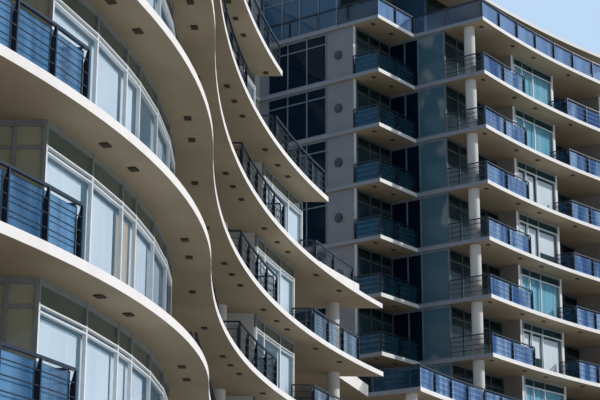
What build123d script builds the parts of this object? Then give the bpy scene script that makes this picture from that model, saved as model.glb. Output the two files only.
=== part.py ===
# Apartment block at one tenth of its real size: a wavy wing with balconies, joined to a taller stepped block.
# Millimetres, +Z up. Plan sizes are measured from the party wall's outer face (X) and from the turn of
# the wavy edge (Y); the row's origin is under the middle of the plan.
import os
from math import cos, radians, sin, sqrt

from build123d import *

# Levels: every storey is a slab with walls on it, up to the underside of the next slab
storey = 300
slab = 20
podium_storeys = 5
wing_storeys = 9
block_storeys = 13
clear_height = storey - slab

# Wavy slab edge of the wing: a bulge, then a hollow, tangent to each other where the edge turns
turn_x = 1630
turn_angle = radians(3.4)
bulge_radius = 2900
hollow_radius = 6500
wing_back = 1380
terrace_tips = {7: 4110, 8: 3470, 9: 2850}
full_tip = 4725
link_front = 430

# Stepped block, in its own axes from its front corner: U runs back along the long face, V to the left
corner_x = 5790
corner_y = -1180
block_angle = -36.5
step_u = 348
step_v = (430, 1210)
step_balcony = 600
block_bays = (530, 965, 1420)
block_bay_setback = 130
block_rail_stops = (460, 905, 1480)
block_length = 1780
block_depth = 2000
front_hollow_u = 320
step_window = (775, 1160)
penthouse_setback = 420
penthouse_step = (700, 100)
roof_overhang = 220

# Podium terraces in front of the block on the lower levels
podium_reach = 825
podium_left = 190
podium_join = -386
podium_column_u = (-770, -420)
podium_column_setback = 75

# Walls and glass
wall = 25
glass = 6
bay_setback = 100
face_setback = 15
balcony_depth = 250
bay_one = (537, 735, 912, 1012, 1190, 1400, 1590)
bay_two_length = 510
bay_two_bars = (380, 170, 0)
wing_end = 4000
upper_ends = {6: 4095, 7: 3455, 8: 2835}
near_balcony_back = 640
recess_back = (340, 170)
window_height = 140
window_sill = 80
window_width = 1500
wing_window_pitch = 2100
block_window_start = 1300
link_window_start = 800
sheet_margin = 12

# Railings, upstands and columns
railing_height = 107
rail_thickness = 5
post = 6
rail_inset = 12
bend_pitch = 300
front_bend_pitch = 430
seat_gap = 0.5
rail_glass = 2
panel_lift = 8
panel_height = 90
rail_to_bay = 45
rail_past_bay = 10
rail_to_end = 40
terrace_rail_end = 4490
mid_rail_x = 2833
recess_rail_y = 32
shortest_run = 150
upstand_width = 22
upstand_height = 26
upstand_stations = (3990, 4470)
parapet_height = 35
column_radius = 29
column_sides = 10
wing_column = (3375, 194)
terrace_column = (4640, 166)
block_column_place = (60, 120)


def direction(angle):
    """A unit vector in plan, at an angle in degrees."""
    return Vector(cos(radians(angle)), sin(radians(angle)))


u_axis = direction(block_angle)
v_axis = direction(block_angle + 90)


def in_block(u, v):
    """A plan point given in the block's own axes."""
    return Vector(corner_x, corner_y) + u_axis * u + v_axis * v


def on_front(u, setback=0):
    """The point of the block's hollow long edge at a station, or of the line this far inside it."""
    rise = sqrt((hollow_radius + setback) ** 2 - (u - front_hollow_u) ** 2)
    return in_block(u, rise - sqrt(hollow_radius ** 2 - front_hollow_u ** 2))


far_corner = in_block(block_length, block_depth)
middle = Vector(far_corner.X / 2, (on_front(block_length).Y + wing_back) / 2)
bulge_centre = Vector(turn_x - bulge_radius * sin(turn_angle), bulge_radius * cos(turn_angle))
hollow_centre = Vector(turn_x + hollow_radius * sin(turn_angle), -hollow_radius * cos(turn_angle))


def plan(height):
    """The plan's own plane at a height above the ground."""
    return Plane(origin=(-middle.X, -middle.Y, height))


def wave_turn(setback):
    """X of the turn of the edge, on the line that lies this far inside it."""
    return turn_x - setback * sin(turn_angle)


def wave(x, setback=0):
    """The point of the wavy edge at a station, or of the line that lies inside it by a setback."""
    if x < wave_turn(setback):
        across = (bulge_radius - setback) ** 2 - (x - bulge_centre.X) ** 2
        return Vector(x, bulge_centre.Y - sqrt(across))
    across = (hollow_radius + setback) ** 2 - (x - hollow_centre.X) ** 2
    return Vector(x, hollow_centre.Y + sqrt(across))


def wave_arcs(start, end, setback):
    """Adds the wavy line between two stations to the line being drawn."""
    turn = wave_turn(setback)
    cuts = [start, turn, end] if start < turn < end else [start, end]
    for a, b in zip(cuts, cuts[1:]):
        ThreePointArc(wave(a, setback), wave((a + b) / 2, setback), wave(b, setback))


def tip(level):
    """How far along the wing the slab of a level reaches."""
    return terrace_tips.get(level, full_tip)


def front_line(points, u, setback=0):
    """Adds a line through points of the block, then its hollow long edge from a station to the far end."""
    Polyline(*points, on_front(u, setback))
    ThreePointArc(*[on_front(station, setback) for station in (u, (u + block_length) / 2, block_length)])
    Line(on_front(block_length, setback), far_corner)


def stepped_front(first, u_left):
    """Adds the stepped front of the block's slabs, from a point of the wing to the far back corner."""
    steps = [(u_left, step_v[1]), (-step_u, step_v[1]), (-step_u, step_v[0]), (0, step_v[0])]
    front_line(first + [in_block(u, v) for u, v in steps], 0)


def roof_front(u_left):
    """Adds the front of the roof, which stands back with the top storey."""
    across, behind = penthouse_step[0] - roof_overhang, penthouse_step[1] - roof_overhang
    steps = [(u_left, step_v[1]), (-step_u, step_v[1]), (-step_u, across), (behind, across)]
    front_line([in_block(u, v) for u, v in steps], behind, penthouse_setback - roof_overhang)


def meets(v, y):
    """The U at which a line of constant V crosses a line of constant Y."""
    return (y - (Vector(corner_x, corner_y) + v_axis * v).Y) / u_axis.Y


def slab_edges(level):
    """Adds the edges of a slab: wing and block together, or the block alone above the wing."""
    left = meets(step_v[1], link_front)
    if level > wing_storeys:
        if level == block_storeys:
            roof_front(left)
        else:
            stepped_front([], left)
        Polyline(far_corner, in_block(left, block_depth), in_block(left, step_v[1]))
        return
    wave_arcs(0, tip(level), 0)
    if level <= podium_storeys:
        bridge = [Vector(full_tip, podium_join), in_block(-podium_reach, podium_left)]
        front_line([wave(full_tip), *bridge], -podium_reach)
    else:
        stepped_front([wave(tip(level)), Vector(tip(level), link_front)], left)
    Polyline(far_corner, in_block(meets(block_depth, wing_back), block_depth), Vector(0, wing_back), wave(0))


def inset(points, amount):
    """Corners of a run of walls moved inwards, mitred between its spans and square at its ends."""
    ways = [(b - a).normalized() for a, b in zip(points, points[1:])]
    sides = [Vector(-way.Y, way.X) for way in ways]
    corners = zip(points, sides[:1] + sides, sides + sides[-1:])
    return [point + (a + b) * (amount / (1 + a.dot(b))) for point, a, b in corners]


def stretch(run, thickness, first=0, last=1):
    """The outline in plan of the wall along part of a run of corners, mitred with the rest of the run."""
    inner = inset(run, thickness)
    return [*run[first:last + 1], *reversed(inner[first:last + 1])]


def block_wall(start, end, thickness=wall):
    """The outline of a straight wall of the block, between two corners in its own axes."""
    return stretch([in_block(*start), in_block(*end)], thickness)


def cross_wall(u, back, setback=block_bay_setback):
    """The outline of a wall across the block, from the line of its long front to a line further back."""
    return [in_block(u, back), on_front(u, setback), on_front(u + wall, setback), in_block(u + wall, back)]


def front_sheet(stations, setback=block_bay_setback):
    """The outline of the glass along the block's long front, through some stations."""
    inner = [on_front(u, setback + glass) for u in reversed(stations)]
    return [*[on_front(u, setback) for u in stations], *inner]


def floors(levels):
    """The planes on top of the slabs of some levels."""
    return [plan(storey * level + slab) for level in levels]


def facing(left, right):
    """The upright plane of a wall whose outer face runs from left to right as seen from outside."""
    along = (right - left).normalized()
    return Plane(origin=left - middle, x_dir=along, z_dir=along.cross(Vector(0, 0, 1)))


def save(piece, name):
    """Labels a finished piece and writes it."""
    piece.label = name
    export_step(piece, f"parts/{name}.step")


def walls(name, pieces, window_rows=()):
    """Makes one node of storey-high walls or sheets: (outline, levels) for each.

    Each row of windows is cut on its levels: (left corner, right corner, levels, places along it).
    """
    with BuildPart() as made:
        for outline, levels in pieces:
            with BuildSketch(*floors(levels)):
                with BuildLine():
                    Polyline(*outline, close=True)
                make_face()
            extrude(amount=clear_height)
        for left, right, levels, places in window_rows:
            with BuildSketch(facing(left, right)):
                for level in levels:
                    middle_height = storey * level + slab + window_sill + window_height / 2
                    with Locations(*[(along, middle_height) for along in places]):
                        Rectangle(window_width, window_height)
            extrude(amount=-wall, mode=Mode.SUBTRACT)
    save(made.part, name)


def ends_of(points):
    """The outlines in plan of the posts at both ends of a railing."""
    outlines = []
    for a, b in ((points[0], points[1]), (points[-1], points[-2])):
        way = (b - a).normalized() * post
        side = Vector(-way.Y, way.X) * 0.5
        outlines.append([a - side, a + way - side, a + way + side, a + side])
    return outlines


def railings(name, paths):
    """Makes one node of railings, (points, levels) for each: a top rail that stands on its two end posts."""
    with BuildPart() as made:
        for points, levels in paths:
            with BuildSketch(*floors(levels)):
                for outline in ends_of(points):
                    with BuildLine():
                        Polyline(*outline, close=True)
                    make_face()
            extrude(amount=railing_height)
            with BuildSketch(*[plane.offset(railing_height - rail_thickness) for plane in floors(levels)]):
                with BuildLine():
                    Polyline(*inset(points, -post / 2), *reversed(inset(points, post / 2)), close=True)
                make_face()
            extrude(amount=rail_thickness)
    save(made.part, name)


def rail_panels(name, paths):
    """Makes the clear sheets between the end posts of some railings."""
    clear = post + seat_gap
    with BuildPart() as made:
        for points, levels in paths:
            first = points[0] + (points[1] - points[0]).normalized() * clear
            last = points[-1] + (points[-2] - points[-1]).normalized() * clear
            line = [first, *points[1:-1], last]
            outline = [*inset(line, -rail_glass / 2), *reversed(inset(line, rail_glass / 2))]
            with BuildSketch(*[plane.offset(panel_lift) for plane in floors(levels)]):
                with BuildLine():
                    Polyline(*outline, close=True)
                make_face()
            extrude(amount=panel_height)
    save(made.part, name)


def evenly(start, end, pitch):
    """Evenly spaced stations from start to end, as near to the pitch as they fit."""
    bays = max(1, round((end - start) / pitch))
    return [start + (end - start) * i / bays for i in range(bays + 1)]


def along_wave(start, end, setback=rail_inset):
    """The bends of a railing that follows the wavy edge between two stations."""
    return [wave(x, setback) for x in evenly(start, end, bend_pitch)]


def along_front(start, end):
    """The bends of a railing that follows the block's long edge between two stations."""
    return [on_front(u, rail_inset) for u in evenly(start, end, front_bend_pitch)]


def behind(left, right, thickness=glass):
    """The outline of a sheet of glass against the inner face of a wall."""
    trim = (right - left).normalized() * sheet_margin
    inner = inset([left, right], wall)
    return stretch([inner[0] + trim, inner[1] - trim], thickness)


def columns(name, places):
    """Makes one node of round columns: (point, levels) for each."""
    with BuildPart() as made:
        for point, levels in places:
            with BuildSketch(*floors(levels)):
                with Locations(point):
                    RegularPolygon(column_radius, column_sides)
            extrude(amount=clear_height)
    save(made.part, name)


os.makedirs("parts", exist_ok=True)
wing_levels = range(wing_storeys)
top = block_storeys - 1
shared_levels = range(top)
upper_levels = range(wing_storeys, block_storeys)

# Floors and roof
for level in range(block_storeys + 1):
    with BuildPart() as floor_slab:
        with BuildSketch(plan(storey * level)):
            with BuildLine():
                slab_edges(level)
            make_face()
        extrude(amount=slab)
    save(floor_slab.part, f"slab_{level:02d}")

# Walls and glass of the wing. Its far end, with bay two, steps back on the upper storeys
ends = {wing_end: range(min(upper_ends))}
ends.update({end: [level] for level, end in upper_ends.items()})
front_one = [wave(x, bay_setback) for x in bay_one]
fall = (recess_back[1] - recess_back[0]) / (wing_end - bay_two_length - bay_one[-1])


def recess_wall(x):
    """The point of the glazed wall behind the long balconies at a station."""
    return Vector(x, recess_back[0] + fall * (x - bay_one[-1]))


joint_v = step_v[1] + face_setback
joint = in_block(meets(joint_v, link_front), joint_v)
step_corner = in_block(face_setback - step_u, joint_v)
doors, returns, fronts_one, fins, fronts_two = [], [], [], [], []
links, link_windows, link_sheets = [], [], []
for end, levels in ends.items():
    fin_x = end - bay_two_length
    run = [Vector(wall, near_balcony_back), Vector(bay_one[0], near_balcony_back), *front_one,
           recess_wall(bay_one[-1]), recess_wall(fin_x)]
    last = len(run) - 1
    doors += [(stretch(run, glass, 0, 1), levels), (stretch(run, glass, last - 1, last), levels)]
    returns += [(stretch(run, glass, 1, 2), levels), (stretch(run, glass, last - 2, last - 1), levels)]
    fronts_one.append((stretch(run, glass, 2, last - 2), levels))
    fins.append((stretch([recess_wall(fin_x) + Vector(0, glass), wave(fin_x, bay_setback)], wall), levels))
    front_two = [wave(fin_x + wall, bay_setback)] + [wave(end - bar, bay_setback) for bar in bay_two_bars]
    run_two = front_two + [Vector(end, link_front + wall)]
    fronts_two.append((stretch(run_two, glass, 0, len(front_two) - 1), levels))
    doors.append((stretch(run_two, glass, len(front_two) - 1, len(front_two)), levels))
    link_run = [Vector(end, link_front), joint, step_corner]
    links.append((stretch(link_run, wall, 0, 1), levels))
    link_windows.append((link_run[0], joint, levels, [link_window_start]))
    link_sheets.append((behind(link_run[0], joint), levels))
walls("wing_door_glass", doors)
walls("bay_one_ends", returns)
walls("bay_one_glass", fronts_one)
walls("bay_two_fin", fins)
walls("bay_two_glass", fronts_two)
walls("link_wall", links, link_windows)
party = [Vector(0, wing_back), wave(0, rail_inset)]
walls("party_wall", [(stretch(party, wall), wing_levels)])

# Walls and glass of the stepped block, in its own axes
s, d = face_setback, balcony_depth
face_u, back_v, end_u = s - step_u, block_depth - s, block_length - s
upper_left = meets(step_v[1], link_front) + s
walls("step_face_walls", [(block_wall((face_u, joint_v + wall), (face_u, step_window[1])), shared_levels),
                          (block_wall((face_u, step_window[0]), (face_u, step_balcony)), shared_levels)])
walls("face_glass", [(block_wall((face_u, step_window[1]), (face_u, step_window[0]), glass), shared_levels),
                     (block_wall((s, step_balcony + glass), (s, d), glass), shared_levels),
                     (front_sheet((block_bays[0] + wall, block_bays[1] - wall)), shared_levels),
                     (front_sheet((block_bays[2] + wall, end_u - wall)), shared_levels)])
walls("balcony_glass", [(block_wall((face_u + wall, step_balcony), (s, step_balcony), glass), shared_levels),
                        (block_wall((s + glass, d), (block_bays[0], d), glass), shared_levels),
                        (block_wall((block_bays[1], d), (block_bays[2], d), glass), shared_levels)])
return_places = (block_bays[0], block_bays[1] - wall, block_bays[2])
walls("balcony_returns", [(cross_wall(u, d + glass), shared_levels) for u in return_places])
lower_step = stretch([Vector(wing_end, link_front), joint, step_corner], wall, 1, 2)
walls("hidden_step_wall", [(lower_step, wing_levels),
                           (block_wall((upper_left, joint_v), (face_u, joint_v)), upper_levels)])
left_end = block_wall((upper_left, back_v - wall), (upper_left, joint_v + wall))
walls("block_end_walls", [(cross_wall(end_u - wall, back_v, s), shared_levels),
                          (cross_wall(end_u - wall, back_v, penthouse_setback), [top]),
                          (left_end, upper_levels)])
step_back, step_end = penthouse_step
top_stations = evenly(step_end + wall, end_u - wall, front_bend_pitch)
walls("penthouse_walls", [(block_wall((face_u, joint_v + wall), (face_u, step_back)), [top]),
                          (cross_wall(step_end, step_back + glass, penthouse_setback), [top])])
walls("penthouse_glass", [(block_wall((face_u + wall, step_back), (step_end, step_back), glass), [top]),
                          (front_sheet(top_stations, penthouse_setback), [top])])

# Back walls, hidden in the photo, with wide windows, and one sheet of glass a storey behind the windows
back_run = [in_block(end_u - wall, back_v), in_block(meets(back_v, wing_back - s), back_v),
            Vector(wall, wing_back - s)]
upper_back = [back_run[0], in_block(upper_left, back_v)]
wing_windows = [wing_window_pitch * (i + 0.5) for i in range(int((back_run[1].X - wall) / wing_window_pitch))]
block_windows = [block_window_start]
walls("wing_back_wall", [(stretch(back_run, wall, 1, 2), wing_levels)],
      [(back_run[1], back_run[2], wing_levels, wing_windows)])
walls("block_back_wall", [(stretch(back_run, wall, 0, 1), wing_levels),
                          (stretch(upper_back, wall), upper_levels)],
      [(back_run[0], back_run[1], wing_levels, block_windows),
       (*upper_back, upper_levels, block_windows)])
upper_end = in_block(upper_left + wall, back_v)
walls("window_glass", [(behind(back_run[1], back_run[2]), wing_levels),
                       (behind(back_run[0], back_run[1]), wing_levels),
                       (behind(upper_back[0], upper_end), upper_levels)] + link_sheets)

# Railings of the wing
rails, edge_rails, terrace_rails, panels, terrace_panels = [], [], [], [], []
bay_reach = bay_setback - post
gap = post / 2 + seat_gap
recess_start = bay_one[-1] + rail_past_bay
for end, levels in ends.items():
    guarded = [level for level in levels if level]
    bay_rail = end - bay_two_length - rail_to_bay
    divided = bay_rail - mid_rail_x > shortest_run
    near_rail = along_wave(wall + post, bay_one[0] - rail_to_bay)
    recess_rail = along_wave(recess_start, bay_rail)
    if divided:
        straight = [Vector(recess_start, recess_rail_y), Vector(mid_rail_x + post / 2, recess_rail_y)]
        edge_rails.append((straight, guarded))
        recess_rail = along_wave(mid_rail_x - post / 2, bay_rail)
        jog = [wave(mid_rail_x, rail_inset + post), Vector(mid_rail_x, recess_rail_y - gap)]
        rails.append((jog, guarded))
    edge_rails += [(near_rail, guarded), (recess_rail, guarded)]
    stations = [bay_one[0] - rail_to_bay, bay_one[-1] + rail_past_bay, bay_rail, end - rail_to_end]
    behind_upstand = upstand_width + rail_inset if min(upper_ends) in levels else rail_inset
    for station in stations:
        start = behind_upstand if station == stations[-1] else rail_inset
        rails.append(([wave(station, start + post), wave(station, bay_reach)], guarded))
    far_rail = terrace_rail_end if tip(levels[-1]) == full_tip else tip(levels[-1]) - rail_inset
    terrace_rails.append((along_wave(end - rail_to_end, far_rail, behind_upstand), guarded))
railings("wing_railings", edge_rails)
rail_panels("wing_rail_glass", edge_rails)
railings("balcony_end_railings", rails)
railings("terrace_railings", terrace_rails)
rail_panels("terrace_rail_glass", terrace_rails)

# White upstands at the edge of the wing's sixth floor and along the podium beside the wing
with BuildPart() as upstands:
    with BuildSketch(*floors([min(upper_ends)])):
        with BuildLine():
            wave_arcs(*upstand_stations, 0)
            Line(wave(upstand_stations[1]), wave(upstand_stations[1], upstand_width))
            wave_arcs(*upstand_stations, upstand_width)
            Line(wave(upstand_stations[0], upstand_width), wave(upstand_stations[0]))
        make_face()
    extrude(amount=upstand_height)
    bridge = [Vector(full_tip, podium_join), in_block(-podium_reach, podium_left)]
    with BuildSketch(*floors(range(1, podium_storeys + 1))):
        with BuildLine():
            Polyline(*stretch(bridge, upstand_width), close=True)
        make_face()
    extrude(amount=parapet_height)
save(upstands.part, "edge_upstands")

# Railings of the block, on the podium and on the balconies above it
r = rail_inset
podium_u = r - podium_reach
podium_levels = range(1, podium_storeys + 1)
balcony_levels = range(podium_storeys + 1, top)
podium_rails = [([in_block(podium_u, podium_left - r), on_front(podium_u, r + post)], podium_levels),
                (along_front(podium_u - gap, block_rail_stops[0]), podium_levels)]
step_rails = [([in_block(r - step_u, step_balcony - gap), in_block(r - step_u, step_v[0] + r + gap)],
               balcony_levels),
              ([in_block(r - step_u - gap, step_v[0] + r), in_block(s - gap, step_v[0] + r)], balcony_levels)]
corner_rails = [([in_block(r, d - gap), on_front(r, r + gap)], balcony_levels),
                (along_front(r - gap, block_rail_stops[0]), balcony_levels)]
side_rails = [(along_front(*block_rail_stops[1:]), range(1, top))]
roof_rails = [([in_block(r - step_u, step_v[1]), in_block(r - step_u, step_v[0] + r + gap)], [top]),
              ([in_block(r - step_u - gap, step_v[0] + r), in_block(r - gap, step_v[0] + r)], [top]),
              ([in_block(r, step_v[0] + r - gap), on_front(r, r + gap)], [top]),
              (along_front(r - gap, block_length - r), [top])]
railings("podium_railings", podium_rails)
railings("step_railings", step_rails)
railings("corner_railings", corner_rails)
railings("side_railings", side_rails)
railings("roof_terrace_railings", roof_rails)
rail_panels("block_rail_glass", podium_rails + step_rails + corner_rails + side_rails + roof_rails)

# Columns
podium_places = [on_front(u, podium_column_setback) for u in podium_column_u]
columns("wing_columns", [(wave(*wing_column), range(max(upper_ends)))])
columns("terrace_columns", [(wave(*terrace_column), range(min(upper_ends)))])
columns("corner_columns", [(in_block(*block_column_place), shared_levels)])
columns("podium_columns", [(place, range(podium_storeys)) for place in podium_places])
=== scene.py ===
"""Looks of an apartment block at one tenth size: a wavy wing with balconies, joined to a stepped block.

Every length is in metres of the model, so a tenth of the real one.
"""
import logging
import random
from dataclasses import dataclass, field
from enum import Enum
from math import cos, radians, sin, sqrt
from typing import Any, Callable, Iterable, Optional, Sequence, Union

import bmesh
import bpy
from mathutils import Matrix, Vector


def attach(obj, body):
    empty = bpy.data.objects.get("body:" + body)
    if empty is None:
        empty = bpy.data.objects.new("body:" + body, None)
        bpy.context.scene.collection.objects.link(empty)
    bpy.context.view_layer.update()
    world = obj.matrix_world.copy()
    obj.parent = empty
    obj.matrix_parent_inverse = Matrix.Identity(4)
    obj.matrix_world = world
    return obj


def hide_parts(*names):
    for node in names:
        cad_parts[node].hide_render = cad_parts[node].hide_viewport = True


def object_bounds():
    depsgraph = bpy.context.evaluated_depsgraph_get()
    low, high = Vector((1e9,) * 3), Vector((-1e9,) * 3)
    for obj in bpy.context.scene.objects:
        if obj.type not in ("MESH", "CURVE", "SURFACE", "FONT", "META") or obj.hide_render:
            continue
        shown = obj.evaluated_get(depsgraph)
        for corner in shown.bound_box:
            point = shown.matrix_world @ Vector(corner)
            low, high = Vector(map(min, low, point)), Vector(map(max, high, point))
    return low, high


LOG = logging.getLogger("apartment_block")
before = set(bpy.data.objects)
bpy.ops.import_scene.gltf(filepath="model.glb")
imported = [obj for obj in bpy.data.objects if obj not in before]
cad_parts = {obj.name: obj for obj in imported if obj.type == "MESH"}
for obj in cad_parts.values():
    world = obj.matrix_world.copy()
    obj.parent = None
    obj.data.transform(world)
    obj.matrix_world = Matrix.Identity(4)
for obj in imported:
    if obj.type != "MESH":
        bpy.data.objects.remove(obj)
CAD_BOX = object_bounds()
UP = Vector((0, 0, 1))
ALONG = Vector((1, 0, 0))
Pair = tuple[float, float]
Triple = tuple[float, float, float]
Row = tuple[float, ...]
Colour = Triple
TAN_TONE = 1.0
# tone of the teal sheets that stand for painted reflection behind panes without a blind
PAINTED_REFLECTION_TONE = 2.0
SHARP = radians(40)


@dataclass(frozen=True)
class Plan:
    """The plan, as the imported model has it: the wavy edge of the wing and the axes of the block."""

    storey: float = 0.300
    slab: float = 0.020
    wing_storeys: int = 9
    block_storeys: int = 13
    podium_storeys: int = 5
    turn_x: float = 1.630
    turn_angle: float = radians(3.4)
    bulge_radius: float = 2.900
    hollow_radius: float = 6.500
    wing_back: float = 1.380
    corner: Pair = (5.790, -1.180)
    block_angle: float = radians(-36.5)
    block_length: float = 1.780
    front_hollow_u: float = 0.320
    podium_corner: Pair = (-0.825, 0.190)
    transom: float = 0.254

    @property
    def clear(self) -> float:
        """The height between a floor and the soffit over it."""
        return self.storey - self.slab

    @property
    def shift(self) -> Vector:
        """The way from the plan's own origin to the row's origin."""
        low, high = CAD_BOX
        return Vector((low[0], high[1] - self.wing_back, 0))

    @property
    def u_way(self) -> Vector:
        """The way along the long face of the block."""
        return Vector((cos(self.block_angle), sin(self.block_angle), 0))

    @property
    def v_way(self) -> Vector:
        """The way across the block, square to its long face."""
        return Vector((-sin(self.block_angle), cos(self.block_angle), 0))

    def floor(self, level: int) -> float:
        """The height of the floor of a level."""
        return self.storey * level + self.slab

    def point(self, x: float, y: float) -> Vector:
        """A point of the plan, in the row's frame."""
        return Vector((x, y, 0)) + self.shift

    def block(self, u: float, v: float) -> Vector:
        """A point given in the block's own axes, in the row's frame."""
        return self.point(*self.corner) + self.u_way * u + self.v_way * v

    def front(self, u: float, setback: float = 0.0) -> Vector:
        """A point of the block's hollow long edge, or of the line that lies inside it by a setback."""
        rise = sqrt((self.hollow_radius + setback) ** 2 - (u - self.front_hollow_u) ** 2)
        return self.block(u, rise - sqrt(self.hollow_radius ** 2 - self.front_hollow_u ** 2))

    def wave(self, x: float, setback: float = 0.0) -> Vector:
        """A point of the wavy edge, or of the line that lies inside it by a setback.

        Args:
            x: The station, measured from the party wall's outer face.
            setback: How far inside the edge the line lies.

        Returns:
            The point in the row's frame, at ground level.
        """
        turn = sin(self.turn_angle), cos(self.turn_angle)
        if x < self.turn_x - setback * turn[0]:
            centre = self.turn_x - self.bulge_radius * turn[0], self.bulge_radius * turn[1]
            y = centre[1] - sqrt((self.bulge_radius - setback) ** 2 - (x - centre[0]) ** 2)
        else:
            centre = self.turn_x + self.hollow_radius * turn[0], -self.hollow_radius * turn[1]
            y = centre[1] + sqrt((self.hollow_radius + setback) ** 2 - (x - centre[0]) ** 2)
        return self.point(x, y)

    def edge_y(self, x: float) -> float:
        """How far along Y, in the plan's own axes, the wavy edge lies at a station."""
        return self.wave(x).y - self.shift.y


PLAN = Plan()


def operator(operation: str, turned: bool = False) -> Callable:
    """Makes a method of Wire that adds one Math node.

    Args:
        operation: What the node works out.
        turned: Whether the other value comes first, as in 1 - mask.

    Returns:
        The method.
    """
    def method(wire: "Wire", other: Any) -> "Wire":
        """Adds the node."""
        values = (other, wire) if turned else (wire, other)
        return wire.shader.node("ShaderNodeMath", {"operation": operation}, dict(enumerate(values)))
    return method


class Wire:
    """A value in a shader. Arithmetic on it adds Math nodes, and a remainder is never negative."""

    __add__, __radd__ = operator("ADD"), operator("ADD", turned=True)
    __sub__, __rsub__ = operator("SUBTRACT"), operator("SUBTRACT", turned=True)
    __mul__, __rmul__ = operator("MULTIPLY"), operator("MULTIPLY", turned=True)
    __mod__ = operator("FLOORED_MODULO")
    __gt__ = operator("GREATER_THAN")
    __lt__ = operator("LESS_THAN")

    def __init__(self, shader: "Shader", socket: Any) -> None:
        """Keeps the shader that the value lives in, and its socket."""
        self.shader = shader
        self.socket = socket


class Shader:
    """The node sheet of one material."""

    def __init__(self, name: str) -> None:
        """Starts a material with one Principled shader."""
        self.material = bpy.data.materials.new(name)
        self.material.use_nodes = True
        self.tree = self.material.node_tree
        self.surface = next(n for n in self.tree.nodes if n.type == "BSDF_PRINCIPLED")

    def node(self, kind: str, settings: Optional[dict] = None, inputs: Optional[dict] = None,
             output: Union[int, str] = 0) -> Wire:
        """Adds a node of any kind.

        Args:
            kind: The node's type.
            settings: Its properties, which are set first.
            inputs: Values or wires for its sockets, by name or number.
            output: The socket to return.

        Returns:
            The chosen output as a wire.
        """
        node = self.tree.nodes.new(kind)
        for key, value in (settings or {}).items():
            setattr(node, key, value)
        for key, value in (inputs or {}).items():
            self.feed(node.inputs[key], value)
        return Wire(self, node.outputs[output])

    def feed(self, socket: Any, value: Any) -> None:
        """Links a wire to a socket, or sets the socket's own value."""
        if isinstance(value, Wire):
            self.tree.links.new(value.socket, socket)
        elif isinstance(value, tuple) and len(value) == 3 and socket.type == "RGBA":
            socket.default_value = (*value, 1)
        else:
            socket.default_value = value

    def place(self) -> Wire:
        """The Object coordinates."""
        return self.node("ShaderNodeTexCoord", output="Object")

    def over_transom(self) -> Wire:
        """One on the part of each storey over the windows' transoms, or else nought."""
        return (self.part(self.place(), 2) % PLAN.storey) > PLAN.transom

    def away(self, low: float = 0.45, high: float = 0.70) -> Wire:
        """One on the faces that look back along the block, away from the light, and nought on the others."""
        return self.ramp(self.along(self.normal(), -PLAN.u_way), low, high)

    def part(self, vector: Wire, axis: int) -> Wire:
        """One coordinate of a vector."""
        return self.node("ShaderNodeSeparateXYZ", None, {0: vector}, axis)

    def along(self, vector: Wire, way: Sequence[float]) -> Wire:
        """How far a vector reaches along a way."""
        inputs = {0: vector, 1: tuple(way)}
        return self.node("ShaderNodeVectorMath", {"operation": "DOT_PRODUCT"}, inputs, "Value")

    def normal(self) -> Wire:
        """The surface's own normal."""
        return self.node("ShaderNodeNewGeometry", output="Normal")

    def noise(self, scale: float, detail: float = 3.0, stretch: Sequence[float] = (1, 1, 1)) -> Wire:
        """A noise value, with a stretch along each axis."""
        spread = self.node("ShaderNodeMapping", None, {"Vector": self.place(), "Scale": tuple(stretch)})
        inputs = {"Vector": spread, "Scale": scale, "Detail": detail}
        return self.node("ShaderNodeTexNoise", None, inputs, "Fac")

    def blend(self, factor: Any, first: Any, second: Any) -> Wire:
        """Mixes two colours."""
        return self.node("ShaderNodeMix", {"data_type": "RGBA"}, {0: factor, 6: first, 7: second}, 2)

    def ramp(self, value: Wire, low: float, high: float) -> Wire:
        """Spreads a value between two bounds over nought to one."""
        inputs = {"Value": value, "From Min": low, "From Max": high}
        return self.node("ShaderNodeMapRange", {"interpolation_type": "SMOOTHSTEP"}, inputs)

    def bump(self, height: Wire, strength: float, distance: float) -> None:
        """Feeds a height to the shader's normal."""
        inputs = {"Height": height, "Strength": strength, "Distance": distance}
        self.feed(self.surface.inputs["Normal"], self.node("ShaderNodeBump", None, inputs))

    def set(self, **sockets: Any) -> None:
        """Sets sockets of the Principled shader by name, with underscores for blanks."""
        for name, value in sockets.items():
            self.feed(self.surface.inputs[name.replace("_", " ")], value)


@dataclass(frozen=True)
class Coat:
    """A painted, rendered or cast finish with a mottled colour and a fine grain."""

    name: str
    colour: Colour
    second: Colour
    scale: float = 12.0
    grain: float = 900.0
    roughness: float = 0.7
    depth: float = 0.0004
    metallic: float = 0.0
    # painted shade: the colour over the transoms, where the slab above shades the frames
    painted_shade_upper: Optional[Colour] = None
    front: Optional[Colour] = None
    facing: float = 0.8
    vary: float = 0.12
    strength: float = 0.35

    def make(self) -> bpy.types.Material:
        """Builds the material, with painted shade over the transoms where it has a colour for it, and its own
        colour on ends that face the front.
        """
        shader = Shader(self.name)
        mottle = shader.ramp(shader.noise(self.scale, 5.0), 0.3, 0.7)
        fine = shader.noise(self.grain, 2.0)
        colour = shader.blend(mottle, self.colour, self.second)
        # painted shade over the transom, where the slab above shades the frames
        if self.painted_shade_upper:
            colour = shader.blend(shader.over_transom(), colour, self.painted_shade_upper)
        if self.front:
            to_front = shader.along(shader.normal(), -PLAN.v_way) > self.facing
            colour = shader.blend(to_front, colour, self.front)
        shader.set(Base_Color=colour, Metallic=self.metallic,
                   Roughness=self.roughness + self.vary * (fine - 0.5))
        shader.bump(fine, self.strength, self.depth)
        return shader.material


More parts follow.
